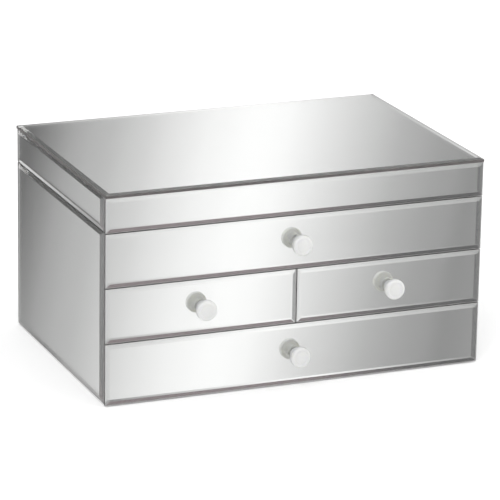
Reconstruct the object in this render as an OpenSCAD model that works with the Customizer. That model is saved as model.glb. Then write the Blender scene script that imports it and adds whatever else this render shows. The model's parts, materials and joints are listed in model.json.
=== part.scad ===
// Mirror-clad jewellery box: a hinged lid over a lined tray, and four drawers with glass knobs.
// Millimetres. +Z is up, -Y is the front. The origin is the middle of the face that it rests on.

/* [Box] */
// Width over the side mirrors
box_w = 320; // [280:1:380]
// Depth from the front mirrors to the back board
box_d = 217; // [190:1:250]
// Height of the bottom drawer's row
bottom_row_h = 50.2; // [44:0.1:70]
// Height of the row with the two short drawers
middle_row_h = 45.1; // [40:0.1:65]
// Height of the top drawer's row, with the lid tray behind its upper part
top_row_h = 44.2; // [42:0.1:60]
// Height of the lid's side mirrors and the seam below them
lid_row_h = 28.4; // [24:0.1:45]
// Gap between neighbouring mirrors, and under the lid
seam = 0.8; // [0.5:0.1:1.5]

/* [Mirror glass] */
// Thickness of the mirrors on the fronts and the sides
glass_t = 3.2; // [2.5:0.1:4]
// Thickness of the lid's top mirror
top_glass_t = 3.2; // [2.5:0.1:5]
// Width of the ground bevel round each outer mirror
bevel_w = 3.5; // [2:0.1:8]
// How far the bevel falls towards the edge
bevel_drop = 0.9; // [0.6:0.1:1.5]
// Width of the bevel along the front edge of each side mirror
corner_bevel_w = 10.5; // [3:0.5:14]
// How far that bevel falls
corner_bevel_drop = 1.2; // [0.6:0.1:1.5]
// Thickness of the mirror inside the lid
vanity_t = 2.5; // [2:0.1:4]
// Width of the bevel round the mirror inside the lid
vanity_bevel_w = 8; // [2:0.5:12]
// How far that bevel falls
vanity_bevel_drop = 1.2; // [0.5:0.1:1.5]
// Border of lining that shows round the mirror inside the lid
vanity_border = 22; // [12:1:40]

/* [Boards] */
// Thickness of the side boards of the case and of the lid
side_t = 9; // [6:0.5:12]
// Thickness of the back boards of the case and of the lid
back_t = 9; // [8.5:0.5:12]
// Thickness of the base board
base_t = 6; // [4:0.5:9]
// Thickness of the shelves between the rows
shelf_t = 5; // [3:0.5:8]
// Thickness of the upright between the two short drawers
upright_t = 6; // [4:0.5:10]
// Thickness of the board under the lid's top mirror
lid_board_t = 5; // [3:0.5:8]
// Thickness of the lid's front rail
lid_rail_t = 9; // [6:0.5:12]
// Thickness of the felt under the base
felt_t = 1.2; // [0.8:0.1:3]
// How far the felt stays inside the box's outline
felt_inset = 7; // [4:0.5:20]

/* [Drawers] */
// Thickness of the board behind each drawer's mirror
front_t = 8; // [6:0.5:12]
// Thickness of the drawer's sides and back
wall_t = 5; // [3:0.5:8]
// Thickness of the drawer's bottom
bottom_t = 3; // [2:0.5:5]
// How far the drawer's walls stay below the board behind its mirror
wall_step = 1.5; // [1:0.5:6]
// Running gap round the drawer in its bay
slide_gap = 0.4; // [0.2:0.1:0.8]
// Shadow gap between a shut drawer's mirror and the case
shadow_gap = 0.6; // [0.3:0.1:0.9]
// Thickness of the velvet
velvet_t = 1; // [0.6:0.1:1.6]

/* [Tray under the lid] */
// Depth from the case's rim to the tray's floor board
tray_depth = 12; // [9:0.1:13]
// Thickness of the tray's floor board
tray_floor_t = 3; // [2.5:0.5:4]
// Thickness of the tray's front rail
tray_rail_t = 8; // [6:0.5:12]
// Thickness of the tray's velvet-covered dividers
divider_t = 4; // [3:0.5:6]
// How far the dividers stay below the case's rim
divider_step = 1; // [0.5:0.1:4]
// Number of ring rolls
roll_count = 9; // [6:1:10]
// Height of a ring roll
roll_h = 14; // [10:0.5:18]
// Slot left between two ring rolls at their widest
roll_slot = 0.6; // [0.4:0.1:1.5]

/* [Knobs] */
// Diameter of the knob's head
knob_d = 16.5; // [14:0.5:22]
// Length of the knob's head
knob_head_l = 5; // [4:0.5:8]
// How far the knob stands out of the mirror
knob_out = 12; // [10:0.5:16]
// Diameter of the knob's waist
knob_waist_d = 8.6; // [7:0.2:12]
// Diameter of the knob's foot on the mirror
knob_foot_d = 11; // [9:0.5:14]
// Ground edge round the knob's face
knob_chamfer = 1; // [0.4:0.1:1.6]
// Diameter of the knob's screw
knob_screw_d = 4; // [3:0.5:5]
// How deep the screw sits in the knob
knob_screw_grip = 7; // [4:0.5:8]

/* [Hinges] */
// Length of a hinge
hinge_l = 38; // [25:1:50]
// Distance from the box's side to the hinge's middle
hinge_inset = 62; // [45:1:90]
// Width of a leaf on its board
leaf_w = 8; // [6:0.5:8]
// Thickness of a leaf
leaf_t = 1; // [0.8:0.1:1.5]
// Outside diameter of the knuckles
knuckle_d = 4.6; // [4.2:0.1:6]
// Number of knuckles
knuckle_count = 5; // [3:2:7]
// Diameter of the hinge pin
pin_d = 2; // [1.5:0.1:2.4]
// Running gap between pin and knuckle, and between a screw and its hole
running_gap = 0.05; // [0.02:0.01:0.1]
// Diameter of the hinge screws
screw_d = 2.2; // [1.6:0.1:2.6]
// Length of the hinge screws
screw_l = 9; // [6:0.5:12]

/* [Hidden] */
$fn = 64;

// A cut runs this far past the face that it opens
past = 1;

// Planes across the box
side_out = box_w / 2;
side_skin = side_out - glass_t;
side_in = side_skin - side_t;
front_out = -box_d / 2;
front_skin = front_out + glass_t;
case_front = front_skin + shadow_gap;
back_out = box_d / 2;
back_in = back_out - back_t;

// Heights, from the felt up
case_bottom = felt_t;
base_top = case_bottom + base_t;
seam_low = case_bottom + bottom_row_h;
seam_mid = seam_low + middle_row_h;
seam_lid = seam_mid + top_row_h;
case_top = seam_lid - seam / 2;
lid_bottom = seam_lid + seam / 2;
lid_skin = seam_lid + lid_row_h;
lid_top = lid_skin + top_glass_t;
lid_board_z = lid_skin - lid_board_t;
tray_board_top = case_top - tray_depth;
tray_board_z = tray_board_top - tray_floor_t;

// Tray, inside its velvet
tray_x = side_in - velvet_t;
tray_y0 = case_front + tray_rail_t + velvet_t;
tray_y1 = back_in - velvet_t;
tray_z = tray_board_top + velvet_t;
tray_bay_w = (2 * tray_x - 2 * divider_t) / 3;
divider_x = tray_bay_w / 2 + divider_t / 2;
divider_top = case_top - divider_step;
// Gap left round soft pieces and loose ends
soft_gap = 0.3;

// Lid, inside its velvet
lid_lining_z = lid_board_z - velvet_t;

// Hinge line
pin_y = back_out + knuckle_d / 2 + 0.15;
pin_z = seam_lid;
hinge_x = side_out - hinge_inset;
knuckle_l = hinge_l / knuckle_count;
knuckle_gap = 0.15;
hinge_screw_x = hinge_l / 3;
hinge_screw_y = back_out - leaf_w / 2;
pin_head_d = pin_d + 1.2;
pin_head_l = 0.8;
bumper_d = 7;

// Knob and its screw
knob_foot_h = 1.2;
knob_lip = 0.4;
knob_screw_head_d = knob_screw_d + 3;
knob_screw_head_l = 2.4;

// Each drawer: its mirror's left, right, low and high edges, then its bay's
DRAWER_TOP = [-side_out, side_out, seam_mid + seam / 2, case_top,
              -side_in, side_in, seam_mid + shelf_t / 2, tray_board_z];
DRAWER_LEFT = [-side_out, -seam / 2, seam_low + seam / 2, seam_mid - seam / 2,
               -side_in, -upright_t / 2, seam_low + shelf_t / 2, seam_mid - shelf_t / 2];
DRAWER_RIGHT = [seam / 2, side_out, seam_low + seam / 2, seam_mid - seam / 2,
                upright_t / 2, side_in, seam_low + shelf_t / 2, seam_mid - shelf_t / 2];
DRAWER_BASE = [-side_out, side_out, case_bottom, seam_low - seam / 2,
               -side_in, side_in, base_top, seam_low - shelf_t / 2];

mirror_colour = [0.80, 0.81, 0.82];
board_colour = [0.09, 0.09, 0.10];
velvet_colour = [0.16, 0.16, 0.18];
metal_colour = [0.72, 0.72, 0.70];
knob_colour = [0.88, 0.93, 0.88, 0.6];

// ---- Shared shapes ----

// A box given by its low and high corners
module block(low, high) {
    translate(low) cube(high - low);
}

// Outline of a plate on edge, with both upper corners ground off
module bevelled_section(w, t, bw, drop) {
    polygon([
        [-w / 2, 0], [w / 2, 0], [w / 2, t - drop],
        [w / 2 - bw, t], [-w / 2 + bw, t], [-w / 2, t - drop]
    ]);
}

// A plate lying flat, bevelled on all four sides of its upper face, with mitred corners
module bevelled_plate(w, h, t, bw, drop) {
    intersection() {
        rotate([90, 0, 0]) linear_extrude(h, center = true) bevelled_section(w, t, bw, drop);
        rotate([90, 0, 90]) linear_extrude(w, center = true) bevelled_section(h, t, bw, drop);
    }
}

// An outer mirror of this width and height
module mirror_plate(w, h, t = glass_t) {
    bevelled_plate(w, h, t, bevel_w, bevel_drop);
}

// A mirror on a front, from its edges in X and Z
module front_mirror(x0, x1, z0, z1) {
    translate([(x0 + x1) / 2, front_skin, (z0 + z1) / 2]) rotate([90, 0, 0]) mirror_plate(x1 - x0, z1 - z0);
}

// A mirror on the left side, from its edges in Y and Z, with the wider bevel at the box's corner
module left_mirror(y0, y1, z0, z1) {
    difference() {
        translate([-side_skin, (y0 + y1) / 2, (z0 + z1) / 2])
            rotate([0, -90, 0]) mirror_plate(z1 - z0, y1 - y0);
        translate([-side_out, y0, z0 - past])
            linear_extrude(z1 - z0 + 2 * past)
            polygon([[-past, -past], [corner_bevel_drop, -past], [corner_bevel_drop, 0],
                     [0, corner_bevel_w], [-past, corner_bevel_w]]);
    }
}

// A piece and its reflection on the other side of the box
module both_sides() {
    children();
    mirror([1, 0, 0]) children();
}

// A velvet tray: the space between two corners, lined on its floor and its four walls
module lining(low, high) {
    difference() {
        block(low, high);
        block(low + [velvet_t, velvet_t, velvet_t], high + [-velvet_t, -velvet_t, past]);
    }
}

// ---- Case ----

module base_felt() {
    color([0.12, 0.12, 0.13])
    block([-side_out + felt_inset, front_out + felt_inset, 0],
          [side_out - felt_inset, back_out - felt_inset, felt_t]);
}

module base_board() {
    color(board_colour) block([-side_in, case_front, case_bottom], [side_in, back_in, base_top]);
}

module side_boards() {
    color(board_colour)
    both_sides() block([side_in, case_front, case_bottom], [side_skin, back_in, case_top]);
}

module back_board() {
    color(board_colour)
    difference() {
        block([-side_skin, back_in, case_bottom], [side_skin, back_out, case_top]);
        both_sides() leaf_recess(case_top - leaf_t, case_top + past);
        hinge_screw_places() translate([0, 0, case_top - leaf_t - screw_l])
            cylinder(h = screw_l + past, d = screw_d + 2 * running_gap);
    }
}

module shelves() {
    color(board_colour)
    for (z = [seam_low, seam_mid])
        block([-side_in, case_front, z - shelf_t / 2], [side_in, back_in, z + shelf_t / 2]);
}

module middle_upright() {
    color(board_colour)
    block([-upright_t / 2, case_front, seam_low + shelf_t / 2],
          [upright_t / 2, back_in, seam_mid - shelf_t / 2]);
}

module tray_floor() {
    color(board_colour) block([-side_in, case_front, tray_board_z], [side_in, back_in, tray_board_top]);
}

module tray_front_rail() {
    color(board_colour)
    block([-side_in, case_front, tray_board_top], [side_in, case_front + tray_rail_t, case_top]);
}

module side_mirrors() {
    color(mirror_colour) both_sides() left_mirror(case_front, back_out, case_bottom, case_top);
}

// Clear discs on the case's rim that carry the shut lid
module lid_bumpers() {
    color([0.8, 0.8, 0.8])
    both_sides()
        for (y = [case_front + tray_rail_t, back_in - hinge_inset / 2])
            translate([(side_skin + side_in) / 2, y, case_top]) cylinder(h = seam, d = bumper_d);
}

// ---- Tray ----

module tray_lining() {
    color(velvet_colour)
    lining([-side_in, case_front + tray_rail_t, tray_board_top], [side_in, back_in, case_top]);
}

// A wall across one bay of the tray, this far along from its front
module cross_divider(x, share) {
    y = tray_y0 + share * (tray_y1 - tray_y0);
    half = tray_bay_w / 2 - soft_gap;
    block([x - half, y - divider_t / 2, tray_z], [x + half, y + divider_t / 2, divider_top]);
}

module tray_dividers() {
    bay_pitch = tray_bay_w + divider_t;
    color(velvet_colour) {
        both_sides()
            block([divider_x - divider_t / 2, tray_y0, tray_z], [divider_x + divider_t / 2, tray_y1, divider_top]);
        cross_divider(0, 0.4);
        cross_divider(bay_pitch, 1 / 3);
        cross_divider(bay_pitch, 2 / 3);
    }
}

// Section of a ring roll: a round pad on a square foot
module roll_section(w) {
    foot_h = roll_h - w / 2;
    square_h = max(foot_h, 0.5);
    intersection() {
        union() {
            translate([-w / 2, 0]) square([w, square_h]);
            translate([0, foot_h]) circle(d = w);
        }
        translate([-w / 2, 0]) square([w, roll_h]);
    }
}

module ring_rolls() {
    pitch = (tray_y1 - tray_y0 - 2 * soft_gap) / roll_count;
    length = tray_bay_w - 2 * soft_gap;
    color(velvet_colour)
    for (i = [0 : roll_count - 1])
        translate([-tray_x + soft_gap, tray_y0 + soft_gap + pitch * (i + 0.5), tray_z])
            rotate([90, 0, 90]) linear_extrude(length) roll_section(pitch - roll_slot);
}

// ---- Lid ----

module lid_board() {
    color(board_colour) block([-side_skin, front_skin, lid_board_z], [side_skin, back_out, lid_skin]);
}

module lid_rail_front() {
    color(board_colour)
    block([-side_skin, front_skin, lid_bottom], [side_skin, front_skin + lid_rail_t, lid_board_z]);
}

module lid_rail_back() {
    color(board_colour)
    difference() {
        block([-side_skin, back_in, lid_bottom], [side_skin, back_out, lid_board_z]);
        both_sides() leaf_recess(lid_bottom - past, lid_bottom + leaf_t);
        hinge_screw_places() translate([0, 0, lid_bottom])
            cylinder(h = leaf_t + screw_l, d = screw_d + 2 * running_gap);
    }
}

module lid_rails_side() {
    color(board_colour)
    both_sides()
        block([side_in, front_skin + lid_rail_t, lid_bottom], [side_skin, back_in, lid_board_z]);
}

module lid_top_mirror() {
    color(mirror_colour) translate([0, 0, lid_skin]) mirror_plate(box_w, box_d, top_glass_t);
}

module lid_front_mirror() {
    color(mirror_colour) front_mirror(-side_out, side_out, lid_bottom, lid_skin);
}

module lid_side_mirrors() {
    color(mirror_colour) both_sides() left_mirror(front_skin, back_out, lid_bottom, lid_skin);
}

// The lid's velvet hangs upside down: the same tray, turned over
module lid_lining() {
    low = [-side_in, front_skin + lid_rail_t, -lid_board_z];
    high = [side_in, back_in, -lid_bottom];
    color(velvet_colour) mirror([0, 0, 1]) lining(low, high);
}

module vanity_mirror() {
    w = 2 * (side_in - vanity_border);
    h = back_in - front_skin - lid_rail_t - 2 * vanity_border;
    y = (back_in + front_skin + lid_rail_t) / 2;
    color(mirror_colour)
    translate([0, y, lid_lining_z]) rotate([180, 0, 0])
        bevelled_plate(w, h, vanity_t, vanity_bevel_w, vanity_bevel_drop);
}

// ---- Hinges ----

// Room for a leaf in the edge of a back board
module leaf_recess(z0, z1) {
    block([hinge_x - hinge_l / 2, back_out - leaf_w, z0], [hinge_x + hinge_l / 2, back_out + past, z1]);
}

// The middle of each hinge screw, seen from above
module hinge_screw_places() {
    both_sides()
        for (dx = [-hinge_screw_x, hinge_screw_x])
            translate([hinge_x + dx, hinge_screw_y, 0]) children();
}

// A turned length along the hinge line, from x0 to x1 of one hinge
module on_pin(x0, x1, d) {
    translate([hinge_x - hinge_l / 2 + x0, pin_y, pin_z]) rotate([0, 90, 0]) cylinder(h = x1 - x0, d = d);
}

// The knuckles of one leaf, every second one from the first
module knuckles(first, plate_z) {
    for (i = [first : 2 : knuckle_count - 1]) {
        x0 = i * knuckle_l + (i == 0 ? 0 : knuckle_gap);
        x1 = (i + 1) * knuckle_l - (i == knuckle_count - 1 ? 0 : knuckle_gap);
        on_pin(x0, x1, knuckle_d);
        block([hinge_x - hinge_l / 2 + x0, back_out - leaf_w / 2, plate_z],
              [hinge_x - hinge_l / 2 + x1, pin_y, plate_z + leaf_t]);
    }
}

// A leaf with its knuckles, bored for the pin and countersunk for its screws
module leaf(first, plate_z, sink_z, sink_up) {
    difference() {
        union() {
            block([hinge_x - hinge_l / 2, back_out - leaf_w, plate_z],
                  [hinge_x + hinge_l / 2, back_out, plate_z + leaf_t]);
            knuckles(first, plate_z);
        }
        on_pin(-past, hinge_l + past, pin_d + 2 * running_gap);
        for (dx = [-hinge_screw_x, hinge_screw_x])
            translate([hinge_x + dx, hinge_screw_y, sink_z]) rotate([sink_up ? 0 : 180, 0, 0]) {
                translate([0, 0, -past]) cylinder(h = leaf_t + 2 * past, d = screw_d + 2 * running_gap);
                cylinder(h = leaf_t, d1 = screw_d + 2 * running_gap,
                         d2 = screw_d + 2 * leaf_t + 2 * running_gap);
            }
    }
}

module hinge_leaves_case() {
    color(metal_colour) both_sides() leaf(0, case_top - leaf_t, case_top - leaf_t, true);
}

module hinge_leaves_lid() {
    color(metal_colour) both_sides() leaf(1, lid_bottom, lid_bottom + leaf_t, false);
}

module hinge_pins() {
    color(metal_colour)
    both_sides() {
        on_pin(-pin_head_l, hinge_l + pin_head_l, pin_d);
        on_pin(-pin_head_l, 0, pin_head_d);
        on_pin(hinge_l, hinge_l + pin_head_l, pin_head_d);
    }
}

// A countersunk screw standing on its point, its flat head flush at this height
module hinge_screw(head_z) {
    translate([0, 0, head_z - leaf_t]) cylinder(h = leaf_t, d1 = screw_d, d2 = screw_d + 2 * leaf_t);
    translate([0, 0, head_z - leaf_t - screw_l + screw_d]) cylinder(h = screw_l - screw_d, d = screw_d);
    translate([0, 0, head_z - leaf_t - screw_l]) cylinder(h = screw_d, d1 = 0.4, d2 = screw_d);
}

module hinge_screws_case() {
    color(metal_colour) hinge_screw_places() hinge_screw(case_top);
}

module hinge_screws_lid() {
    color(metal_colour) hinge_screw_places() mirror([0, 0, 1]) hinge_screw(-lid_bottom);
}

// ---- Drawers ----
// d is one of the DRAWER_ lists: d[0..3] are the mirror's edges, d[4..7] the bay's

function box_low(d) = [d[4] + slide_gap, front_skin + front_t, d[6] + slide_gap];
function box_high(d) = [d[5] - slide_gap, back_in - slide_gap, d[7] - slide_gap - wall_step];
function knob_x(d) = (d[0] + d[1]) / 2;
function knob_z(d) = (d[2] + d[3]) / 2;

// Things along a drawer's knob, with Z here pointing out of the front from its mirror's face
module at_knob(d) {
    translate([knob_x(d), front_out, knob_z(d)]) rotate([90, 0, 0]) children();
}

// The hole for a drawer's knob screw
module knob_hole(d) {
    at_knob(d) translate([0, 0, -glass_t - front_t - past])
        cylinder(h = glass_t + front_t + 2 * past, d = knob_screw_d + 2 * running_gap);
}

module drawer_mirror(d) {
    color(mirror_colour)
    difference() {
        front_mirror(d[0], d[1], d[2], d[3]);
        knob_hole(d);
    }
}

// The board behind the mirror fills the bay, so that it also keeps the drawer straight
module drawer_front(d) {
    color(board_colour)
    difference() {
        block([d[4] + slide_gap, front_skin, d[6] + slide_gap],
              [d[5] - slide_gap, front_skin + front_t, d[7] - slide_gap]);
        knob_hole(d);
    }
}

// The two sides stand on the bottom, and the back stands between them
module drawer_sides(d) {
    low = box_low(d) + [0, 0, bottom_t];
    high = box_high(d);
    color(board_colour)
    for (x = [low.x, high.x - wall_t])
        block([x, low.y, low.z], [x + wall_t, high.y, high.z]);
}

module drawer_back(d) {
    low = box_low(d) + [wall_t, 0, bottom_t];
    high = box_high(d) - [wall_t, 0, 0];
    color(board_colour) block([low.x, high.y - wall_t, low.z], high);
}

module drawer_bottom(d) {
    low = box_low(d);
    high = box_high(d);
    color(board_colour) block(low, [high.x, high.y, low.z + bottom_t]);
}

module drawer_lining(d) {
    color(velvet_colour)
    difference() {
        lining(box_low(d) + [wall_t, 0, bottom_t], box_high(d) - [wall_t, wall_t, 0]);
        at_knob(d) translate([0, 0, -glass_t - front_t - velvet_t - past])
            cylinder(h = velvet_t + past, d = knob_screw_head_d + 2 * soft_gap);
    }
}

// A turned glass knob: a foot, a hollow waist, and a head with a ground edge round its flat face
module knob_section() {
    head_z = knob_out - knob_head_l;
    waist_top = head_z - knob_lip;
    sag = (knob_foot_d - knob_waist_d) / 2;
    half = (waist_top - knob_foot_h) / 2;
    hollow_r = (half * half + sag * sag) / (2 * sag);
    head_r = knob_d / 2;
    difference() {
        polygon([
            [0, 0], [knob_foot_d / 2, 0], [knob_foot_d / 2, waist_top],
            [head_r - knob_chamfer / 2, head_z], [head_r, head_z + knob_chamfer / 2],
            [head_r, knob_out - knob_chamfer], [head_r - knob_chamfer, knob_out], [0, knob_out]
        ]);
        translate([knob_waist_d / 2 + hollow_r, (knob_foot_h + waist_top) / 2]) circle(r = hollow_r);
    }
}

module drawer_knob(d) {
    color(knob_colour)
    at_knob(d) difference() {
        rotate_extrude() knob_section();
        translate([0, 0, -past]) cylinder(h = knob_screw_grip + past, d = knob_screw_d + 2 * running_gap);
    }
}

// The knob's screw comes from inside the drawer, with a pan head on the board
module drawer_screw(d) {
    back = glass_t + front_t;
    color(metal_colour)
    at_knob(d) {
        translate([0, 0, -back]) cylinder(h = back + knob_screw_grip - soft_gap, d = knob_screw_d);
        translate([0, 0, -back - knob_screw_head_l]) cylinder(h = knob_screw_head_l, d = knob_screw_head_d);
    }
}

// All pieces of one drawer, by the name that its nodes begin with
module drawer(name, d) {
    drawer_mirror(d);
    drawer_front(d);
    drawer_sides(d);
    drawer_back(d);
    drawer_bottom(d);
    drawer_lining(d);
    drawer_knob(d);
    drawer_screw(d);
}

base_felt();
base_board();
side_boards();
back_board();
shelves();
middle_upright();
tray_floor();
tray_front_rail();
side_mirrors();
lid_bumpers();
tray_lining();
tray_dividers();
ring_rolls();
hinge_leaves_case();
hinge_pins();
hinge_screws_case();
lid_board();
lid_rail_front();
lid_rail_back();
lid_rails_side();
lid_top_mirror();
lid_front_mirror();
lid_side_mirrors();
lid_lining();
vanity_mirror();
hinge_leaves_lid();
hinge_screws_lid();
drawer("drawer_top", DRAWER_TOP);
drawer("drawer_left", DRAWER_LEFT);
drawer("drawer_right", DRAWER_RIGHT);
drawer("drawer_base", DRAWER_BASE);
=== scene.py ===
"""Looks of the mirror-clad jewellery box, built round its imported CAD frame.

Metres. +Z is up, -Y is the front. The mirrors are real slabs of glass over a thin plate of silver, and the
studio is a ring of soft upright light panels that only polished glass and metal see.
"""

import json
import math

import bmesh
import bpy
from mathutils import Matrix, Vector, noise

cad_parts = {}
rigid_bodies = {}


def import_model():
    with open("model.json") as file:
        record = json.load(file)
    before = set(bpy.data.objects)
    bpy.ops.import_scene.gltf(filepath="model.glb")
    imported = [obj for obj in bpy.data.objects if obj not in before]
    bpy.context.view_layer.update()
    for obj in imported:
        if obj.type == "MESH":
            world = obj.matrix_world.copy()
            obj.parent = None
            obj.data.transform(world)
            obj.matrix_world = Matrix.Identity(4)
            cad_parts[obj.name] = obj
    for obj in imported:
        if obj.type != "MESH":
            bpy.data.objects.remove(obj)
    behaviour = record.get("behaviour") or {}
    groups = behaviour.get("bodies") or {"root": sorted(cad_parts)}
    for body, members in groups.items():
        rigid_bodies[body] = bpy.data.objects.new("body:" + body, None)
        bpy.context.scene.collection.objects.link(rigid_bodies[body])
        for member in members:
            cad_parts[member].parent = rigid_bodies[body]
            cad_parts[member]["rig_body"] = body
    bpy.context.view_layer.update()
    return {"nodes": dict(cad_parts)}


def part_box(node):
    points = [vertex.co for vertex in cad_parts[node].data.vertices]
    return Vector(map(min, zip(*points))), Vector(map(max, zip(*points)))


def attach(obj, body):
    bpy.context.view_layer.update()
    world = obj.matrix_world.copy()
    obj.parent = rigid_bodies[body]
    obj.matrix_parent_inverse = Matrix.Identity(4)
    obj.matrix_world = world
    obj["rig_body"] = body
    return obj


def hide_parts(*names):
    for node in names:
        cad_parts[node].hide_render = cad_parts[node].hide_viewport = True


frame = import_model()
nodes = frame["nodes"]

MM = 0.001
DRAWERS = ("drawer_top", "drawer_left", "drawer_right", "drawer_base")

# The photograph's camera, in the box's frame
CAMERA_PLACE = (-0.9761, -2.3727, 0.8808)
CAMERA_AZIMUTH = -22.447
CAMERA_ELEVATION = 17.331
CAMERA_ROLL = 0.952
CAMERA_LENS = 237.01

# Sizes that repeat part.scad's
KNOB_OUT = 12 * MM
KNOB_HEAD_L = 5 * MM
KNOB_HEAD_R = 8.25 * MM
KNOB_WAIST_R = 4.3 * MM
KNOB_FOOT_R = 5.5 * MM
KNOB_FOOT_H = 1.2 * MM
KNOB_HOLE_R = 2.05 * MM
KNOB_HOLE_L = 7 * MM
ROLL_COUNT = 9
ROLL_SLOT = 0.6 * MM
VELVET_T = 1 * MM


# ---- Camera, light and floor ----


def photo_camera():
    azimuth, elevation = math.radians(CAMERA_AZIMUTH), math.radians(CAMERA_ELEVATION)
    roll = math.radians(CAMERA_ROLL)
    back = Vector((
        math.sin(azimuth) * math.cos(elevation),
        -math.cos(azimuth) * math.cos(elevation),
        math.sin(elevation),
    ))
    right = (-back).cross(Vector((0, 0, 1))).normalized()
    up = right.cross(-back)
    turned_right = right * math.cos(roll) + up * math.sin(roll)
    turned_up = up * math.cos(roll) - right * math.sin(roll)
    turn = Matrix((turned_right, turned_up, back)).transposed()
    data = bpy.data.cameras.new("photo_camera")
    data.lens = CAMERA_LENS
    data.clip_start = 0.05
    data.clip_end = 100
    camera = bpy.data.objects.new("photo_camera", data)
    camera.matrix_world = Matrix.Translation(CAMERA_PLACE) @ turn.to_4x4()
    bpy.context.scene.collection.objects.link(camera)
    bpy.context.scene.camera = camera


def add(tree, kind, inputs=None, **settings):
    """A new node. An input is a value or another node's output, by the socket's name or number."""
    made = tree.nodes.new(kind)
    for name, value in settings.items():
        setattr(made, name, value)
    for name, value in (inputs or {}).items():
        socket = made.inputs[name]
        if isinstance(value, bpy.types.NodeSocket):
            tree.links.new(value, socket)
        else:
            socket.default_value = value
    return made


def calc(tree, operation, *values, clamp=False):
    """A Math node's output."""
    inputs = dict(enumerate(values))
    return add(tree, "ShaderNodeMath", inputs, operation=operation, use_clamp=clamp).outputs[0]


def mapped(tree, value, low, high, to_low=0.0, to_high=1.0, smooth=True):
    """A value's place between low and high, as a place between to_low and to_high."""
    inputs = {"Value": value, "From Min": low, "From Max": high, "To Min": to_low, "To Max": to_high}
    kind = "SMOOTHSTEP" if smooth else "LINEAR"
    return add(tree, "ShaderNodeMapRange", inputs, interpolation_type=kind).outputs[0]


def blended(tree, share, first, second):
    """Colour between first and second."""
    made = add(tree, "ShaderNodeMix", data_type="RGBA")
    for index, value in ((0, share), (6, first), (7, second)):
        if isinstance(value, bpy.types.NodeSocket):
            tree.links.new(value, made.inputs[index])
        else:
            made.inputs[index].default_value = value
    return made.outputs[2]


# How bright the studio is, by the angle in degrees that it lies to the side of straight ahead or behind
PANELS = (
    (0, 0.59), (5.2, 0.36), (8.3, 0.10), (10.2, 0.04), (12.0, 0.10), (14.7, 0.96), (16.6, 0.44), (18.0, 0.08),
    (19, 0.38), (19.8, 0.55), (20.5, 0.75), (21.2, 0.96), (21.8, 1.08), (22.4, 1.14), (23, 1.06),
    (23.6, 0.87), (24.2, 0.70), (24.8, 0.52), (25.4, 0.39), (26, 0.31), (26.7, 0.26), (28.8, 0.65),
    (32.6, 0.91), (35.5, 0.64), (37.9, 0.39), (42.3, 0.72), (48.1, 0.91), (53, 0.78), (62, 0.55),
    (72, 0.87), (82, 0.59), (90, 0.96),
)
PANEL_GAIN = 1.25
# The side angle is measured at this much of full level, which is the cosine of the photograph's own slope
SLOPE = 0.959
# The panels lean: between these heights their light moves sideways, by these angles in radians
LEAN_HEIGHTS = (0.22, 0.36)
LEAN_ANGLES = (-0.0201, 0.0246)
UPRIGHT_ABOVE = (0.36, 0.41)
UPRIGHT_BELOW = (0.22, 0.17)


def studio_world():
    """White to the camera, even soft light on the object, and upright panels in what polish reflects."""
    world = bpy.data.worlds.new("studio")
    bpy.context.scene.world = world
    world.use_nodes = True
    tree = world.node_tree
    tree.nodes.clear()
    sky = add(tree, "ShaderNodeTexCoord").outputs["Generated"]
    axes = add(tree, "ShaderNodeSeparateXYZ", {0: sky}).outputs
    across = calc(tree, "ABSOLUTE", axes[0])
    side = calc(tree, "ARCSINE", calc(tree, "MINIMUM", calc(tree, "DIVIDE", across, SLOPE), 1.0))
    height = calc(tree, "ABSOLUTE", axes[2])
    low_lean, high_lean = LEAN_ANGLES
    leaning = mapped(tree, height, *LEAN_HEIGHTS, low_lean, high_lean, smooth=False)
    leaning = calc(tree, "ADD", leaning, mapped(tree, height, *UPRIGHT_ABOVE, 0, -high_lean))
    leaning = calc(tree, "ADD", leaning, mapped(tree, height, *UPRIGHT_BELOW, 0, -low_lean))
    place = calc(tree, "DIVIDE", calc(tree, "ADD", side, leaning), math.pi / 2)
    panel = add(tree, "ShaderNodeValToRGB", {0: place})
    ramp = panel.color_ramp
    ramp.interpolation = "CARDINAL"
    while len(ramp.elements) < len(PANELS):
        ramp.elements.new(0.5)
    for element, (angle, value) in zip(ramp.elements, PANELS):
        element.position = angle / 90
        element.color = (*[value / PANEL_GAIN] * 3, 1)
    upright = calc(tree, "MULTIPLY", panel.outputs[0], PANEL_GAIN)
    overhead = calc(tree, "ADD", mapped(tree, height, 0.36, 0.42, 0, 0.26),
                    mapped(tree, height, 0.64, 0.85, 0, 0.74))
    panels = blended(tree, overhead, upright, (1.10, 1.10, 1.09, 1))
    panels = blended(tree, mapped(tree, height, 0.66, 0.90), panels, (0.70, 0.70, 0.69, 1))
    near_dark = mapped(tree, place, 22.5 / 90, 25.4 / 90)
    low_wall = blended(tree, near_dark, (0.150, 0.108, 0.116, 1), (0.004, 0.002, 0.003, 1))
    low_wall = blended(tree, mapped(tree, place, 26.6 / 90, 27.4 / 90), low_wall, (0.38, 0.37, 0.37, 1))
    clear = mapped(tree, height, 0.10, 0.14)
    polish = blended(tree, clear, low_wall, panels)
    rays = add(tree, "ShaderNodeLightPath").outputs
    polished = calc(tree, "MAXIMUM", rays["Is Glossy Ray"], rays["Is Transmission Ray"])
    soft = blended(tree, rays["Is Camera Ray"], (0.90, 0.90, 0.90, 1), (1, 1, 1, 1))
    seen = blended(tree, polished, soft, polish)
    light = add(tree, "ShaderNodeBackground", {"Color": seen, "Strength": 1.0})
    out = add(tree, "ShaderNodeOutputWorld", {"Surface": light.outputs[0]})
    out.is_active_output = True


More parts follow.
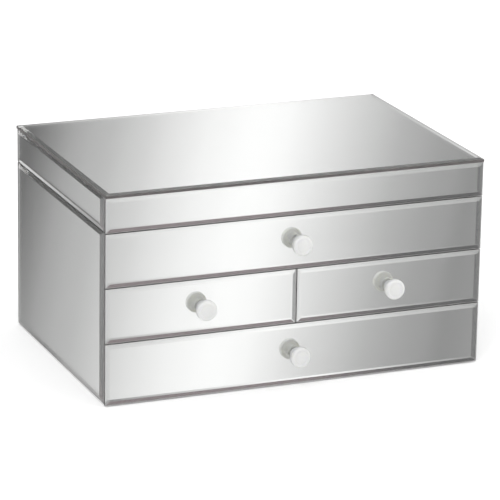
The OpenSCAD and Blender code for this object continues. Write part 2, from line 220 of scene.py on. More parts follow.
def soft_lamp(name, place, target, size, power):
    """A big soft lamp that mirrors don't show."""
    data = bpy.data.lights.new(name, "AREA")
    data.shape = "SQUARE"
    data.size = size
    data.energy = power
    lamp = bpy.data.objects.new(name, data)
    lamp.location = place
    lamp.rotation_mode = "QUATERNION"
    lamp.rotation_quaternion = (Vector(target) - Vector(place)).to_track_quat("-Z", "Y")
    lamp.visible_glossy = False
    lamp.visible_transmission = False
    bpy.context.scene.collection.objects.link(lamp)


def studio_floor():
    bm = bmesh.new()
    bmesh.ops.create_grid(bm, x_segments=1, y_segments=1, size=4)
    floor = finished("studio_floor", bm)
    material, tree, out = new_material("pale_floor")
    spots = add(tree, "ShaderNodeTexNoise", {"Scale": 3.0, "Detail": 2.0}).outputs["Fac"]
    colour = blended(tree, spots, (0.90, 0.90, 0.90, 1), (0.92, 0.92, 0.92, 1))
    matt = add(tree, "ShaderNodeBsdfDiffuse", {"Color": colour}).outputs[0]
    rays = add(tree, "ShaderNodeLightPath").outputs
    seen = calc(tree, "MULTIPLY", rays["Is Camera Ray"], 0.20)
    glow = add(tree, "ShaderNodeEmission", {"Strength": seen}).outputs[0]
    lit = add(tree, "ShaderNodeAddShader", {0: matt, 1: glow}).outputs[0]
    tree.links.new(lit, out.inputs["Surface"])
    dress(floor, material)
    floor.visible_glossy = False
    floor.visible_transmission = False


# ---- Making pieces ----


def finished(name, bm, smooth=False):
    """A mesh object at the origin from a bmesh, whose place is in its mesh."""
    mesh = bpy.data.meshes.new(name)
    bm.to_mesh(mesh)
    bm.free()
    for face in mesh.polygons:
        face.use_smooth = smooth
    piece = bpy.data.objects.new(name, mesh)
    bpy.context.scene.collection.objects.link(piece)
    return piece


def dress(piece, material):
    piece.data.materials.clear()
    piece.data.materials.append(material)


def place_piece(piece, material, body, slot, *stands_for):
    dress(piece, material)
    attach(piece, body)
    if stands_for:
        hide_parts(*stands_for)
    return piece


def merged(node):
    """A welded copy of a CAD node's mesh."""
    bm = bmesh.new()
    bm.from_mesh(nodes[node].data)
    bmesh.ops.remove_doubles(bm, verts=bm.verts[:], dist=1e-6)
    return bm


def body_of(node):
    return nodes[node]["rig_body"]


def smooth_by_angle(piece, degrees=35):
    """Smooth faces, with edges sharper than this kept crisp."""
    bm = bmesh.new()
    bm.from_mesh(piece.data)
    for face in bm.faces:
        face.smooth = True
    for edge in bm.edges:
        if len(edge.link_faces) == 2:
            edge.smooth = edge.calc_face_angle(0) < math.radians(degrees)
    bm.to_mesh(piece.data)
    bm.free()


# ---- Materials ----


def new_material(name):
    material = bpy.data.materials.new(name)
    material.use_nodes = True
    tree = material.node_tree
    tree.nodes.clear()
    return material, tree, add(tree, "ShaderNodeOutputMaterial")


def new_group(name, inputs, outputs):
    """A shader node group with named float inputs and outputs. A colour output has the name Color."""
    group = bpy.data.node_groups.new(name, "ShaderNodeTree")
    for label, value in inputs.items():
        kind = "NodeSocketColor" if isinstance(value, tuple) else "NodeSocketFloat"
        socket = group.interface.new_socket(label, in_out="INPUT", socket_type=kind)
        socket.default_value = value
    for label in outputs:
        kind = "NodeSocketColor" if label == "Color" else "NodeSocketFloat"
        group.interface.new_socket(label, in_out="OUTPUT", socket_type=kind)
    start = group.nodes.new("NodeGroupInput")
    end = group.nodes.new("NodeGroupOutput")
    return group, start.outputs, end.inputs


def use_group(tree, group, inputs=None):
    return add(tree, "ShaderNodeGroup", inputs, node_tree=group).outputs


def object_coords(tree):
    return add(tree, "ShaderNodeTexCoord").outputs["Object"]


def speckle(tree, where, scale, detail=2.0, roughness=0.5):
    inputs = {"Vector": where, "Scale": scale, "Detail": detail, "Roughness": roughness}
    return add(tree, "ShaderNodeTexNoise", inputs).outputs["Fac"]


def handling_group():
    """Faint finger marks and dust on polished surfaces."""
    group, given, out = new_group("handling", {"Marks": 1.0, "Dust": 1.0}, ["Roughness", "Dust"])
    where = object_coords(group)
    smear = mapped(group, speckle(group, where, 26.0, 5.0, 0.62), 0.56, 0.74)
    ridges = speckle(group, where, 900.0, 1.0)
    marks = calc(group, "MULTIPLY", calc(group, "MULTIPLY", smear, ridges), given["Marks"])
    cells = add(group, "ShaderNodeTexVoronoi", {"Vector": where, "Scale": 260.0}).outputs["Distance"]
    specks = mapped(group, cells, 0.10, 0.05)
    patches = mapped(group, speckle(group, where, 9.0, 3.0), 0.45, 0.70)
    dust = calc(group, "MULTIPLY", calc(group, "MULTIPLY", specks, patches), given["Dust"])
    group.links.new(calc(group, "ADD", marks, dust), out["Roughness"])
    group.links.new(dust, out["Dust"])
    return group


def pile_group():
    """Velvet's pile: fine tufts, and patches where it leans another way, whose lighter tone is a painted
    sheen; the lean also raises the bump.
    """
    inputs = {"Deep": (0.01, 0.01, 0.01, 1), "Bright": (0.05, 0.05, 0.05, 1), "Tufts": 1400.0, "Lay": 24.0}
    group, given, out = new_group("pile", inputs, ["Color", "Height"])
    where = object_coords(group)
    tufts = add(group, "ShaderNodeTexNoise", {"Vector": where, "Scale": given["Tufts"], "Detail": 2.0})
    lay = add(group, "ShaderNodeTexNoise", {"Vector": where, "Scale": given["Lay"], "Detail": 3.0})
    # Painted sheen: patches where the pile leans another way are lightened in the colour, as the sheen would
    # show them, and are also bumped.
    leaning = mapped(group, lay.outputs["Fac"], 0.38, 0.66)
    share = calc(group, "ADD", calc(group, "MULTIPLY", tufts.outputs["Fac"], 0.70),
                 calc(group, "MULTIPLY", leaning, 0.30))
    group.links.new(blended(group, share, given["Deep"], given["Bright"]), out["Color"])
    group.links.new(calc(group, "ADD", tufts.outputs["Fac"], calc(group, "MULTIPLY", leaning, 0.2)),
                    out["Height"])
    return group


def lacquer_group():
    """Sprayed lacquer: a soft orange peel and hair scuffs."""
    group, given, out = new_group("lacquer", {"Peel": 420.0, "Scuffs": 1.0}, ["Height", "Scuff"])
    where = object_coords(group)
    peel = add(group, "ShaderNodeTexNoise", {"Vector": where, "Scale": given["Peel"], "Detail": 1.0})
    turned = add(group, "ShaderNodeMapping", {"Vector": where, "Rotation": (0.4, 0.7, 0.5),
                                              "Scale": (1.0, 14.0, 1.0)}).outputs[0]
    hairs = mapped(group, speckle(group, turned, 60.0, 6.0, 0.7), 0.62, 0.74)
    patches = mapped(group, speckle(group, where, 14.0, 3.0), 0.45, 0.65)
    scuff = calc(group, "MULTIPLY", calc(group, "MULTIPLY", hairs, patches), given["Scuffs"])
    group.links.new(peel.outputs["Fac"], out["Height"])
    group.links.new(scuff, out["Scuff"])
    return group


def brushing_group():
    """Fine brushing along X, with handling wear."""
    group, given, out = new_group("brushing", {"Lines": 900.0}, ["Height", "Wear"])
    where = object_coords(group)
    drawn = add(group, "ShaderNodeMapping", {"Vector": where, "Scale": (0.04, 1.0, 1.0)}).outputs[0]
    lines = add(group, "ShaderNodeTexNoise", {"Vector": drawn, "Scale": given["Lines"], "Detail": 3.0})
    wear = mapped(group, speckle(group, where, 140.0, 4.0, 0.6), 0.40, 0.70)
    group.links.new(lines.outputs["Fac"], out["Height"])
    group.links.new(wear, out["Wear"])
    return group


HANDLING = handling_group()
PILE = pile_group()
LACQUER = lacquer_group()
BRUSHING = brushing_group()


def bumped(tree, height, strength, distance):
    inputs = {"Height": height, "Strength": strength, "Distance": distance}
    return add(tree, "ShaderNodeBump", inputs).outputs[0]


def mirror_glass(name, axis, clear):
    """Float glass, this clear. Its ground edges are painted grey, and a painted shade darkens the edges that
    face up, which sit in the seams between plates.
    """
    material, tree, out = new_material(name)
    facing = add(tree, "ShaderNodeTexCoord").outputs["Normal"]
    parts = add(tree, "ShaderNodeSeparateXYZ", {0: facing}).outputs
    turned = calc(tree, "ABSOLUTE", parts[axis])
    ground = mapped(tree, turned, 0.60, 0.40)
    # Painted shade: the ground edges that face up lie in the seams, and their colour is darkened to stand for
    # the shade there.
    up_edge_painted_shade = calc(tree, "MULTIPLY", ground, mapped(tree, parts[2], 0.90, 0.98))
    marks = use_group(tree, HANDLING, {"Marks": 0.035, "Dust": 0.02})
    rough = calc(tree, "ADD", calc(tree, "MULTIPLY", ground, 0.32), marks["Roughness"], clamp=True)
    # Edge colour: grey edge paint, going darker as painted shade on the edges that face up.
    edge = blended(tree, up_edge_painted_shade, (0.36, 0.325, 0.33, 1), (0.09, 0.08, 0.082, 1))
    tint = blended(tree, ground, (0.985, 0.992, 0.987, 1), edge)
    glass = add(tree, "ShaderNodeBsdfPrincipled", {
        "Base Color": tint, "Roughness": rough, "IOR": 1.52, "Transmission Weight": clear})
    tree.links.new(glass.outputs[0], out.inputs["Surface"])
    return material


def silvering():
    """The silver behind the glass, with a trace of unevenness."""
    material, tree, out = new_material("silvering")
    where = object_coords(tree)
    cloud = speckle(tree, where, 12.0, 3.0)
    tint = blended(tree, cloud, (0.905, 0.905, 0.90, 1), (0.93, 0.93, 0.927, 1))
    rough = mapped(tree, speckle(tree, where, 40.0, 2.0), 0.3, 0.7, 0.0, 0.012)
    silver = add(tree, "ShaderNodeBsdfPrincipled", {"Base Color": tint, "Roughness": rough, "Metallic": 1.0})
    tree.links.new(silver.outputs[0], out.inputs["Surface"])
    return material


def black_lacquer():
    material, tree, out = new_material("black_lacquer")
    coat = use_group(tree, LACQUER, {"Peel": 420.0, "Scuffs": 0.8})
    tone = blended(tree, coat["Scuff"], (0.012, 0.012, 0.013, 1), (0.045, 0.043, 0.042, 1))
    rough = calc(tree, "ADD", 0.33, calc(tree, "MULTIPLY", coat["Scuff"], 0.3))
    paint = add(tree, "ShaderNodeBsdfPrincipled", {
        "Base Color": tone, "Roughness": rough, "Normal": bumped(tree, coat["Height"], 0.12, 0.0004)})
    tree.links.new(paint.outputs[0], out.inputs["Surface"])
    return material


def velvet(name, deep, bright, tufts=1400.0):
    material, tree, out = new_material(name)
    pile = use_group(tree, PILE, {"Deep": deep, "Bright": bright, "Tufts": tufts, "Lay": 24.0})
    cloth = add(tree, "ShaderNodeBsdfPrincipled", {
        "Base Color": pile["Color"], "Roughness": 0.95, "Specular IOR Level": 0.15,
        "Sheen Weight": 0.55, "Sheen Roughness": 0.35, "Sheen Tint": (0.75, 0.75, 0.80, 1),
        "Normal": bumped(tree, pile["Height"], 0.6, 0.0007)})
    tree.links.new(cloth.outputs[0], out.inputs["Surface"])
    return material


def felt():
    material, tree, out = new_material("felt")
    pile = use_group(tree, PILE, {"Deep": (0.012, 0.012, 0.013, 1), "Bright": (0.06, 0.06, 0.062, 1),
                                  "Tufts": 700.0, "Lay": 60.0})
    cloth = add(tree, "ShaderNodeBsdfPrincipled", {
        "Base Color": pile["Color"], "Roughness": 1.0, "Specular IOR Level": 0.1, "Sheen Weight": 0.2,
        "Normal": bumped(tree, pile["Height"], 0.9, 0.0009)})
    tree.links.new(cloth.outputs[0], out.inputs["Surface"])
    return material


def brushed_nickel(name, tone, base_roughness):
    material, tree, out = new_material(name)
    brushing = use_group(tree, BRUSHING, {"Lines": 900.0})
    worn = tuple(0.82 * value for value in tone)
    tint = blended(tree, brushing["Wear"], (*tone, 1), (*worn, 1))
    rough = calc(tree, "ADD", base_roughness, calc(tree, "MULTIPLY", brushing["Wear"], 0.12))
    metal = add(tree, "ShaderNodeBsdfPrincipled", {
        "Base Color": tint, "Roughness": rough, "Metallic": 1.0,
        "Normal": bumped(tree, brushing["Height"], 0.15, 0.0002)})
    tree.links.new(metal.outputs[0], out.inputs["Surface"])
    return material


def knob_glass():
    """Pressed glass with a faint green tinge and some cloud in it."""
    material, tree, out = new_material("knob_glass")
    where = object_coords(tree)
    cloud = speckle(tree, where, 180.0, 3.0)
    marks = use_group(tree, HANDLING, {"Marks": 0.05, "Dust": 0.03})
    tint = blended(tree, cloud, (0.95, 0.985, 0.865, 1), (0.975, 0.995, 0.895, 1))
    swirl = speckle(tree, where, 420.0, 2.0)
    glass = add(tree, "ShaderNodeBsdfPrincipled", {
        "Base Color": tint, "Roughness": marks["Roughness"], "IOR": 1.5, "Transmission Weight": 0.18,
        "Subsurface Weight": 1.0, "Subsurface Scale": 0.01, "Subsurface Radius": (1.0, 1.0, 0.9),
        "Normal": bumped(tree, swirl, 0.10, 0.0003)})
    tree.links.new(glass.outputs[0], out.inputs["Surface"])
    return material


def clear_rubber():
    material, tree, out = new_material("clear_rubber")
    haze = speckle(tree, object_coords(tree), 700.0, 2.0)
    rough = calc(tree, "ADD", 0.12, calc(tree, "MULTIPLY", haze, 0.15))
    tint = blended(tree, haze, (0.88, 0.88, 0.87, 1), (0.95, 0.95, 0.94, 1))
    rubber = add(tree, "ShaderNodeBsdfPrincipled", {
        "Base Color": tint, "Roughness": rough, "IOR": 1.43, "Transmission Weight": 0.9})
    tree.links.new(rubber.outputs[0], out.inputs["Surface"])
    return material


# ---- Mirrors ----

SILVER_LIFT = 0.06 * MM
SILVER_T = 0.04 * MM
SILVER_INSET = 0.08 * MM
CLEAR_OUTSIDE = 0.92
CLEAR_VANITY = 0.98
PLATE_AXES = {
    "lid_top_mirror": (0, 0, 1), "lid_front_mirror": (0, -1, 0), "lid_side_mirrors": (1, 0, 0),
    "side_mirrors": (1, 0, 0), "vanity_mirror": (0, 0, -1), "drawer_top_mirror": (0, -1, 0),
    "drawer_left_mirror": (0, -1, 0), "drawer_right_mirror": (0, -1, 0), "drawer_base_mirror": (0, -1, 0),
}


def plate_outwards(axis, centre):
    """Which way a plate faces. Side plates face away from the box's middle."""
    out = Vector(axis)
    return out * math.copysign(1, centre.x) if axis[0] else out


def silver_plate(node, axis, material):
    """A thin closed plate just inside the glass slab's back face, with the slab's outline and hole."""
    bm = merged(node)
    facing_back = [f for f in bm.faces
                   if f.normal.dot(plate_outwards(axis, f.calc_center_median())) < -0.99]
    others = [f for f in bm.faces if f not in set(facing_back)]
    bmesh.ops.delete(bm, geom=others, context="FACES")
    bmesh.ops.dissolve_limit(bm, angle_limit=0.01, verts=bm.verts[:], edges=bm.edges[:])
    rim = bmesh.ops.inset_region(bm, faces=bm.faces[:], thickness=SILVER_INSET, use_boundary=True,
                                 use_even_offset=True)
    bmesh.ops.delete(bm, geom=rim["faces"], context="FACES")
    for vert in bm.verts:
        vert.co += plate_outwards(axis, vert.co) * SILVER_LIFT
    grown = bmesh.ops.extrude_face_region(bm, geom=bm.faces[:], use_keep_orig=True)
    for vert in [v for v in grown["geom"] if isinstance(v, bmesh.types.BMVert)]:
        vert.co += plate_outwards(axis, vert.co) * SILVER_T
    bmesh.ops.recalc_face_normals(bm, faces=bm.faces[:])
    name = node.replace("mirrors", "silver").replace("mirror", "silver")
    return place_piece(finished(name, bm), material, body_of(node), "mirror_glass")


def mirrors():
    silver = silvering()
    glass = {axis: mirror_glass(f"mirror_glass_{'xyz'[axis]}", axis, CLEAR_OUTSIDE) for axis in range(3)}
    for node, axis in PLATE_AXES.items():
        silver_plate(node, axis, silver)
        dress(nodes[node], glass[[abs(value) for value in axis].index(1)])
    dress(nodes["vanity_mirror"], mirror_glass("vanity_glass", 2, CLEAR_VANITY))


# ---- Boards ----

BOARDS = ["base_board", "side_boards", "back_board", "shelves", "middle_upright", "tray_floor",
          "tray_front_rail", "lid_board", "lid_rail_front", "lid_rail_back", "lid_rails_side"]
BOARDS += [f"{drawer}_{board}" for drawer in DRAWERS for board in ("front", "sides", "back", "bottom")]
EASED_EDGE = 0.35 * MM
LONG_EDGE = 3.5 * MM


def eased_board(node, material):
    """The board with its long sharp edges sanded round."""
    bm = merged(node)
    bmesh.ops.dissolve_limit(bm, angle_limit=0.01, verts=bm.verts[:], edges=bm.edges[:])
    sharp = [e for e in bm.edges
             if e.calc_length() > LONG_EDGE and len(e.link_faces) == 2
             and e.calc_face_angle(0) > math.radians(60) and e.is_convex]
    bmesh.ops.bevel(bm, geom=sharp, offset=EASED_EDGE, affect="EDGES", segments=2, profile=0.5,
                    material=-1, clamp_overlap=True)
    piece = finished(f"{node}_eased", bm)
    return place_piece(piece, material, body_of(node), "black_board", node)


# ---- Knobs and screws ----


def lathe(profile, steps=64):
    """A bmesh turned round Z from (radius, height) points, closed at its poles."""
    bm = bmesh.new()
    verts = [bm.verts.new((radius, 0, height)) for radius, height in profile]
    for first, second in zip(verts, verts[1:]):
        bm.edges.new((first, second))
    bmesh.ops.spin(bm, geom=bm.verts[:] + bm.edges[:], cent=(0, 0, 0), axis=(0, 0, 1), dvec=(0, 0, 0),
                   angle=2 * math.pi, steps=steps, use_merge=True, use_normal_flip=False)
    bmesh.ops.remove_doubles(bm, verts=bm.verts[:], dist=1e-6)
    bmesh.ops.recalc_face_normals(bm, faces=bm.faces[:])
    return bm


def arc(centre, radius, start, end, steps):
    """Points on an arc, by angles in degrees from the radius direction."""
    angles = [math.radians(start + (end - start) * i / steps) for i in range(steps + 1)]
    return [(centre[0] + radius * math.cos(a), centre[1] + radius * math.sin(a)) for a in angles]


# The knob's face inside its rim, from the rim to the middle: radius, and how far it lies behind the rim
KNOB_FACE = (
    (6.35, 0), (6.1, 0.12), (5.6, 0.55), (5.3, 0.62), (4.4, 0.50), (3.2, 0.36), (1.8, 0.26), (0, 0.22),
)


def knob_profile():
    """A waisted stem and a head whose face is a low dome inside a raised rim."""
    head_z = KNOB_OUT - KNOB_HEAD_L
    rim = 1.5 * MM
    back_rim = 1.1 * MM
    waist_top = head_z - 0.4 * MM
    sag = KNOB_FOOT_R - KNOB_WAIST_R
    half = (waist_top - KNOB_FOOT_H) / 2
    hollow = (half * half + sag * sag) / (2 * sag)
    swing = math.degrees(math.asin(half / hollow))
    points = [(0, KNOB_HOLE_L), (KNOB_HOLE_R, KNOB_HOLE_L), (KNOB_HOLE_R, 0), (KNOB_FOOT_R - 0.3 * MM, 0),
              (KNOB_FOOT_R, 0.3 * MM)]
    waist_middle = (KNOB_WAIST_R + hollow, (KNOB_FOOT_H + waist_top) / 2)
    points += arc(waist_middle, hollow, 180 + swing, 180 - swing, 10)
    points += [(KNOB_FOOT_R + 0.6 * MM, head_z - 0.1 * MM)]
    points += arc((KNOB_HEAD_R - back_rim, head_z + back_rim), back_rim, -80, 0, 6)
    points += arc((KNOB_HEAD_R - rim, KNOB_OUT - rim), rim, 0, 90, 8)
    points += [(radius * MM, KNOB_OUT - fall * MM) for radius, fall in KNOB_FACE]
    return points


def knob_place(drawer):
    """Puts Z-up knob parts on the drawer's mirror: Z turns to point out of the front."""
    low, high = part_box(f"{drawer}_knob")
    centre = (low + high) / 2
    return Matrix.Translation((centre.x, high.y, centre.z)) @ Matrix.Rotation(math.pi / 2, 4, "X")


def glass_knob(drawer, material):
    bm = lathe(knob_profile(), steps=96)
    bm.transform(knob_place(drawer))
    piece = finished(f"{drawer}_glass_knob", bm)
    smooth_by_angle(piece, 38)
    return place_piece(piece, material, drawer, "knob_glass", f"{drawer}_knob")


def thread(radius, depth, pitch, start, end):
    """Profile of a thread as rings, from start to end."""
    points = []
    count = int((end - start) / pitch)
    for i in range(count):
        z = start + i * pitch
        points += [(radius - depth, z), (radius, z + pitch / 2)]
    return points + [(radius - depth, start + count * pitch)]


def cross_recess(bm, top_z, width, length, depth):
    """Sinks a cross into the faces that lie at top_z."""
    for axis in (Vector((1, 0, 0)), Vector((0, 1, 0))):
        for place in (-length / 2, -width / 2, width / 2, length / 2):
            bmesh.ops.bisect_plane(bm, geom=bm.verts[:] + bm.edges[:] + bm.faces[:], plane_co=axis * place,
                                   plane_no=axis, dist=1e-7)
    inside = []
    for face in bm.faces:
        centre = face.calc_center_median()
        x, y = abs(centre.x), abs(centre.y)
        arms = (x < width / 2 and y < length / 2) or (y < width / 2 and x < length / 2)
        if arms and abs(centre.z - top_z) < 0.4 * MM and face.normal.z > 0.5:
            inside.append(face)
    sunk = bmesh.ops.extrude_face_region(bm, geom=inside)
    bmesh.ops.delete(bm, geom=inside, context="FACES_ONLY")
    verts = [v for v in sunk["geom"] if isinstance(v, bmesh.types.BMVert)]
    for vert in verts:
        vert.co = Vector((vert.co.x * 0.7, vert.co.y * 0.7, top_z - depth))


def knob_screw(drawer, material):
    """A pan head inside the drawer, and a thread that goes up into the knob."""
    low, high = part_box(f"{drawer}_screw")
    knob_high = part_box(f"{drawer}_knob")[1]
    radius = 2 * MM
    head_r, head_l = 3.5 * MM, 2.4 * MM
    tail = high.y - knob_high.y  # from the mirror's face to the head's outside
    shank_end = knob_high.y - low.y
    seat = -tail + head_l
    points = [(0, shank_end), (radius - 0.5 * MM, shank_end)]
    points += thread(radius, 0.35 * MM, 0.7 * MM, seat + 2 * MM, shank_end - 0.6 * MM)[::-1]
    eased = 0.3 * MM
    crown = 1.2 * MM
    points += [(radius, seat + 1.6 * MM), (radius, seat), (head_r - eased, seat), (head_r, seat - eased)]
    points += [(head_r, seat - crown)]
    points += arc((head_r - crown, seat - crown), crown, -15, -80, 5)
    points += [(0, seat - head_l)]
    bm = lathe(points, steps=48)
    bmesh.ops.rotate(bm, verts=bm.verts[:], cent=(0, 0, 0), matrix=Matrix.Rotation(math.pi, 3, "X"))
    cross_recess(bm, head_l - seat, 0.9 * MM, 3.6 * MM, 1.1 * MM)
    bmesh.ops.rotate(bm, verts=bm.verts[:], cent=(0, 0, 0), matrix=Matrix.Rotation(-math.pi, 3, "X"))
    bm.transform(knob_place(drawer))
    bmesh.ops.recalc_face_normals(bm, faces=bm.faces[:])
    piece = finished(f"{drawer}_pan_screw", bm)
    smooth_by_angle(piece, 32)
    return place_piece(piece, material, drawer, "screw_steel", f"{drawer}_screw")


# ---- Velvet ----


def velvet_tray(name, node, material, turned_over=False):
    """A velvet lining with soft inner corners, glued inside its boards."""
    low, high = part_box(node)
    size = high - low
    bm = bmesh.new()
    bmesh.ops.create_cube(bm, size=1)
    bmesh.ops.scale(bm, vec=size - Vector((2 * VELVET_T, 2 * VELVET_T, VELVET_T)), verts=bm.verts[:])
    top = max(bm.faces, key=lambda f: f.calc_center_median().z)
    bmesh.ops.delete(bm, geom=[top], context="FACES")
    corners = [e for e in bm.edges if len(e.link_faces) == 2]
    bmesh.ops.bevel(bm, geom=corners, offset=2.2 * MM, affect="EDGES", segments=4, profile=0.5, material=-1)
    bmesh.ops.recalc_face_normals(bm, faces=bm.faces[:])
    bmesh.ops.solidify(bm, geom=bm.faces[:], thickness=-VELVET_T)
    bm.normal_update()
    centre = (low + high) / 2
    if turned_over:
        bmesh.ops.rotate(bm, verts=bm.verts[:], cent=(0, 0, 0), matrix=Matrix.Rotation(math.pi, 3, "X"))
        centre.z -= VELVET_T / 2
    else:
        centre.z += VELVET_T / 2
    bmesh.ops.translate(bm, verts=bm.verts[:], vec=centre)
    bmesh.ops.recalc_face_normals(bm, faces=bm.faces[:])
    piece = finished(name, bm)
    smooth_by_angle(piece, 40)
    place_piece(piece, material, body_of(node), "velvet", node)
    return piece


def wrapped_dividers(material):
    """Thin boards wrapped in velvet, so their top edges are round."""
    source = merged("tray_dividers")
    bmesh.ops.dissolve_limit(source, angle_limit=0.01, verts=source.verts[:], edges=source.edges[:])
    upper = max(v.co.z for v in source.verts)
    rounded = [e for e in source.edges
               if all(abs(v.co.z - upper) < 1e-5 for v in e.verts)
               or abs(e.verts[0].co.z - e.verts[1].co.z) > 5 * MM]
    bmesh.ops.bevel(source, geom=rounded, offset=1.6 * MM, affect="EDGES", segments=5, profile=0.5,
                    material=-1)
    bmesh.ops.recalc_face_normals(source, faces=source.faces[:])
    piece = finished("wrapped_dividers", source)
    smooth_by_angle(piece, 40)
    return place_piece(piece, material, "case", "velvet", "tray_dividers")


def base_felt(material):
    low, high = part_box("base_felt")
    size = high - low
    bm = bmesh.new()
    bmesh.ops.create_cube(bm, size=1)
    bmesh.ops.scale(bm, vec=size, verts=bm.verts[:])
    upright = [e for e in bm.edges if abs(e.verts[0].co.z - e.verts[1].co.z) > size.z / 2]
    bmesh.ops.bevel(bm, geom=upright, offset=6 * MM, affect="EDGES", segments=6, profile=0.5, material=-1)
    rim = [e for e in bm.edges if abs(e.verts[0].co.z - e.verts[1].co.z) < 1e-6
           and e.calc_face_angle(0) > 1]
    bmesh.ops.bevel(bm, geom=rim, offset=0.35 * MM, affect="EDGES", segments=2, profile=0.5, material=-1)
    bmesh.ops.translate(bm, verts=bm.verts[:], vec=(low + high) / 2)
    piece = finished("felt_base", bm)
    smooth_by_angle(piece, 40)
    place_piece(piece, material, "case", "felt", "base_felt")
    return piece


# ---- Ring rolls ----


def ring_rolls(material):
    """Nine velvet bolsters side by side, puffed up by a short cloth simulation."""
    low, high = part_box("ring_rolls")
    pitch = (high.y - low.y + ROLL_SLOT) / ROLL_COUNT
    length = high.x - low.x
    width = pitch - ROLL_SLOT
    height = high.z - low.z
    shrink = 0.9 * MM
    bm = bmesh.new()
    for i in range(ROLL_COUNT):
        made = bmesh.ops.create_cube(bm, size=1)["verts"]
        bmesh.ops.scale(bm, vec=(length - 2 * shrink, width - 2 * shrink, height - shrink), verts=made)
        centre = Vector(((low.x + high.x) / 2, low.y + width / 2 + pitch * i, low.z + (height - shrink) / 2))
        bmesh.ops.translate(bm, verts=made, vec=centre)
    upper = [e for e in bm.edges
             if all(v.co.z > low.z + height / 2 for v in e.verts)
             and abs(e.verts[0].co.x - e.verts[1].co.x) > length / 2]
    bmesh.ops.bevel(bm, geom=upper, offset=width * 0.36, affect="EDGES", segments=6, profile=0.5,
                    material=-1)
    piece = finished("velvet_ring_rolls", bm)
    remesh = piece.modifiers.new("even_mesh", "REMESH")
    remesh.mode = "VOXEL"
    remesh.voxel_size = 2.2 * MM
    apply_modifiers(piece)
    start = [v.co.copy() for v in piece.data.vertices]
    puff_up(piece)
    limit = 2.5 * MM
    half = width / 2 + ROLL_SLOT / 2 - 0.12 * MM
    for vert, was in zip(piece.data.vertices, start):
        moved = vert.co - was
        if moved.length > limit:
            moved *= limit / moved.length
        point = was + moved
        roll = min(ROLL_COUNT - 1, max(0, int((was.y - low.y + ROLL_SLOT / 2) / pitch)))
        middle = low.y + width / 2 + pitch * roll
        point.x = min(high.x, max(low.x, point.x))
        point.y = min(middle + half, max(middle - half, point.y))
        point.z = min(high.z + 1.2 * MM, max(low.z, point.z))
        ends = min(point.x - low.x, high.x - point.x)
        seam = math.exp(-(((ends - 4.5 * MM) / (1.2 * MM)) ** 2)) * 0.5 * MM
        lump = 0.35 * MM * noise.noise(point * 70 + Vector((0, 0, roll)))
        above = max(0.0, min(1.0, (point.z - low.z) / (4 * MM)))
        point.z += (lump - seam) * above
        vert.co = point
    finish = piece.modifiers.new("soft", "SUBSURF")
    finish.levels = finish.render_levels = 1
    apply_modifiers(piece)
    for face in piece.data.polygons:
        face.use_smooth = True
    place_piece(piece, material, "case", "velvet", "ring_rolls")
    return piece


def apply_modifiers(piece):
    evaluated = piece.evaluated_get(bpy.context.evaluated_depsgraph_get())
    mesh = bpy.data.meshes.new_from_object(evaluated)
    piece.modifiers.clear()
    old = piece.data
    piece.data = mesh
    bpy.data.meshes.remove(old)


def puff_up(piece):
    """Blows the closed meshes up a little, as stuffing does."""
    cloth = piece.modifiers.new("stuffing", "CLOTH")
    cloth.settings.quality = 5
    cloth.settings.mass = 0.2
    cloth.settings.use_pressure = True
    cloth.settings.uniform_pressure_force = 4.0
    cloth.settings.effector_weights.gravity = 0.0
    cloth.settings.tension_stiffness = 15
    cloth.settings.compression_stiffness = 15
    scene = bpy.context.scene
    scene.frame_start, scene.frame_end = 1, 20
    for step in range(1, 21):
        scene.frame_set(step)
    apply_modifiers(piece)
    scene.frame_set(1)


# ---- Hinges ----

HINGE_SLOT_W = 0.6 * MM
HINGE_SLOT_DEPTH = 0.45 * MM
HINGE_HEAD_REACH = 4 * MM


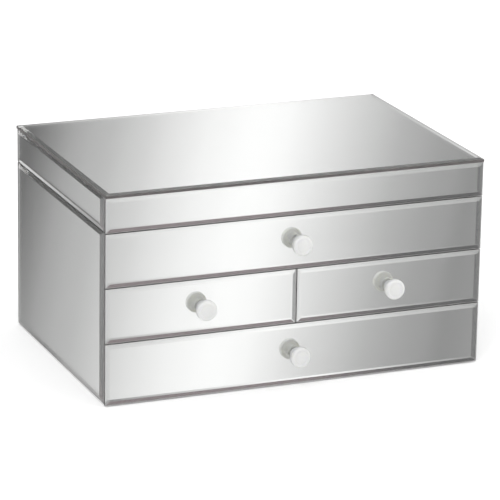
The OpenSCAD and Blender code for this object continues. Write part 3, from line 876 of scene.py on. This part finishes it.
def hinge_screws(name, node, material, heads_up):
    """Countersunk screws with a slot across each head."""

    def is_head(face):
        level = abs(face.calc_center_median().z - head_z) < 1e-5
        return face.normal.z * sign > 0.99 and level

    def faces_round(centre):
        return [f for f in bm.faces if (f.calc_center_median().xy - centre.xy).length < HINGE_HEAD_REACH]

    bm = merged(node)
    bmesh.ops.dissolve_limit(bm, angle_limit=0.01, verts=bm.verts[:], edges=bm.edges[:])
    low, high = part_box(node)
    head_z = high.z if heads_up else low.z
    sign = 1 if heads_up else -1
    slots = [f.calc_center_median().copy() for f in bm.faces if is_head(f)]
    half = HINGE_SLOT_W / 2
    for centre in slots:
        faces = faces_round(centre)
        for place in (-half, half):
            geom = set(faces)
            for face in faces:
                geom.update(face.edges)
                geom.update(face.verts)
            bmesh.ops.bisect_plane(bm, geom=list(geom), plane_co=centre + Vector((place, 0, 0)),
                                   plane_no=(1, 0, 0), dist=1e-7)
            faces = faces_round(centre)
    sunk = [f for f in bm.faces if is_head(f)
            and min(abs(f.calc_center_median().x - c.x) for c in slots
                    if (f.calc_center_median().xy - c.xy).length < HINGE_HEAD_REACH) < half * 0.9]
    grown = bmesh.ops.extrude_face_region(bm, geom=sunk)
    bmesh.ops.delete(bm, geom=sunk, context="FACES_ONLY")
    for vert in [v for v in grown["geom"] if isinstance(v, bmesh.types.BMVert)]:
        vert.co.z -= sign * HINGE_SLOT_DEPTH
        near = min(slots, key=lambda c: (vert.co.xy - c.xy).length)
        vert.co.y = near.y + (vert.co.y - near.y) * 0.74
    bmesh.ops.recalc_face_normals(bm, faces=bm.faces[:])
    piece = finished(name, bm)
    smooth_by_angle(piece, 30)
    return place_piece(piece, material, body_of(node), "screw_steel", node)


# ---- The whole object ----

photo_camera()
studio_world()
soft_lamp("soft_key", (-1.3, -1.6, 2.2), (0, 0, 0.05), 1.6, 26)
soft_lamp("soft_fill", (1.8, -1.0, 1.6), (0, 0, 0.05), 1.6, 10)
studio_floor()

mirrors()
lacquer = black_lacquer()
for board in BOARDS:
    eased_board(board, lacquer)
clear_knob = knob_glass()
steel = brushed_nickel("screw_steel", (0.60, 0.60, 0.60), 0.24)
nickel = brushed_nickel("satin_nickel", (0.68, 0.66, 0.62), 0.26)
for drawer in DRAWERS:
    glass_knob(drawer, clear_knob)
    knob_screw(drawer, steel)
charcoal = velvet("charcoal_velvet", (0.010, 0.010, 0.012, 1), (0.055, 0.055, 0.062, 1))
for drawer in DRAWERS:
    velvet_tray(f"{drawer}_velvet", f"{drawer}_lining", charcoal)
velvet_tray("tray_velvet", "tray_lining", charcoal)
velvet_tray("lid_velvet", "lid_lining", charcoal, turned_over=True)
wrapped_dividers(charcoal)
base_felt(felt())
ring_rolls(charcoal)
hinge_screws("hinge_slot_screws_case", "hinge_screws_case", steel, heads_up=True)
hinge_screws("hinge_slot_screws_lid", "hinge_screws_lid", steel, heads_up=False)
for leaf in ("hinge_leaves_case", "hinge_leaves_lid", "hinge_pins"):
    dress(nodes[leaf], nickel)
dress(nodes["lid_bumpers"], clear_rubber())

bpy.context.scene.view_settings.view_transform = "Standard"
bpy.context.scene.cycles.max_bounces = 24
bpy.context.scene.cycles.glossy_bounces = 16
bpy.context.scene.cycles.transmission_bounces = 16
